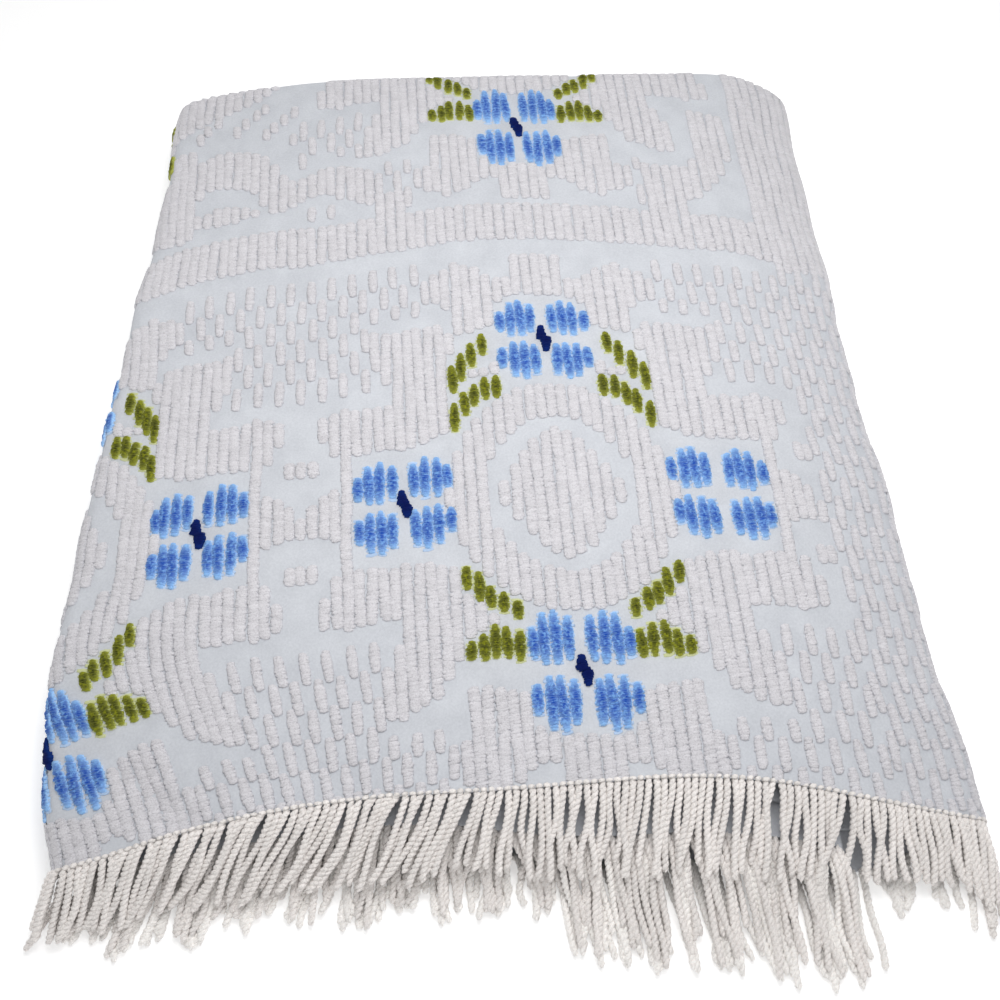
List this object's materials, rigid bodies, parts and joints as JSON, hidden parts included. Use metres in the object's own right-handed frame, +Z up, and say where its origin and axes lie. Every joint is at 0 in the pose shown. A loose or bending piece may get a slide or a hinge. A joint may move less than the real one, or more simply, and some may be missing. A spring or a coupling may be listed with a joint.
{
  "type": "folded bedspread",
  "caption": "Folded chenille bedspread with tufted flowers and wreaths on a pale blue ground and a twisted fringe along its hem.",
  "frame": {"origin": "middle of the bounding box, on the surface that the folded bedspread lies on", "axes": "+Z up from that surface, -Y towards the fringed hem at the front, +X towards the loose roll at the right"},
  "size_m": [0.5998, 0.7302, 0.0535],
  "materials": {
    "bedspread": "plain-weave cotton with soft cut tufts",
    "fringe": "twisted cotton yarn"
  },
  "bodies": {
    "root": {"bedspread": "bedspread", "fringe": "fringe"}
  },
  "joints": []
}
